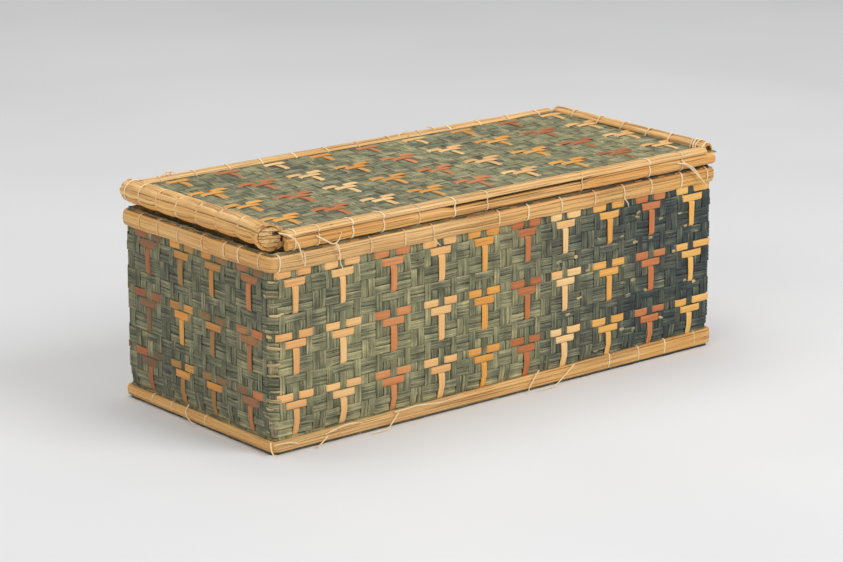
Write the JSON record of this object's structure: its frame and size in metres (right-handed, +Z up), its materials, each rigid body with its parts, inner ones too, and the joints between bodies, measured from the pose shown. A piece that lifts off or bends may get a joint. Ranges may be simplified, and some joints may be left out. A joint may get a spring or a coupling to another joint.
{
  "type": "plaited keepsake box",
  "caption": "Long plaited straw box with lashed split-cane rims, dyed motifs and a lift-off lid with a skirt.",
  "frame": {"origin": "middle of the underside, on the surface that the box stands on", "axes": "+X along the length, -Y towards the front, +Z up"},
  "size_m": [0.3852, 0.167, 0.1477],
  "materials": {
    "dyed_straw": "plaited, matt",
    "plain_straw": "plaited, matt",
    "split_cane": "satin, grained",
    "reed": "matt, grained",
    "fibre": "matt",
    "peach_straw": "matt",
    "gold_straw": "matt",
    "rust_straw": "matt"
  },
  "bodies": {
    "base": {"side_mat": "dyed_straw", "side_lining": "plain_straw", "bottom_mat": "dyed_straw", "bottom_lining": "plain_straw", "rim_front_cane": "split_cane", "rim_back_cane": "split_cane", "rim_inner_cane": "split_cane", "rim_top_reed": "reed", "rim_lashing": "fibre", "binding_front_cane": "split_cane", "binding_back_cane": "split_cane", "binding_corner_reed": "reed", "binding_lashing": "fibre", "base_peach_straws": "peach_straw", "base_gold_straws": "gold_straw", "base_rust_straws": "rust_straw"},
    "lid": {"lid_mat": "dyed_straw", "lid_lining": "plain_straw", "lid_skirt": "dyed_straw", "skirt_lower_hoop": "reed", "skirt_upper_hoop": "reed", "lid_front_outer_cane": "split_cane", "lid_front_top_cane": "split_cane", "lid_front_core_reed": "reed", "lid_back_outer_cane": "split_cane", "lid_back_top_cane": "split_cane", "lid_back_core_reed": "reed", "lid_rim_lashing": "fibre", "left_roll_staves": "split_cane", "left_roll_upper_core": "reed", "left_roll_lower_core": "reed", "left_roll_lashing": "fibre", "right_roll_staves": "split_cane", "right_roll_upper_core": "reed", "right_roll_lower_core": "reed", "right_roll_lashing": "fibre", "lid_peach_straws": "peach_straw", "lid_gold_straws": "gold_straw", "lid_rust_straws": "rust_straw"}
  },
  "joints": [
    {"name": "lid_lift", "type": "slide", "parent": "base", "child": "lid", "axis": [0, 0, 1], "range_m": [0, 0.18]}
  ]
}
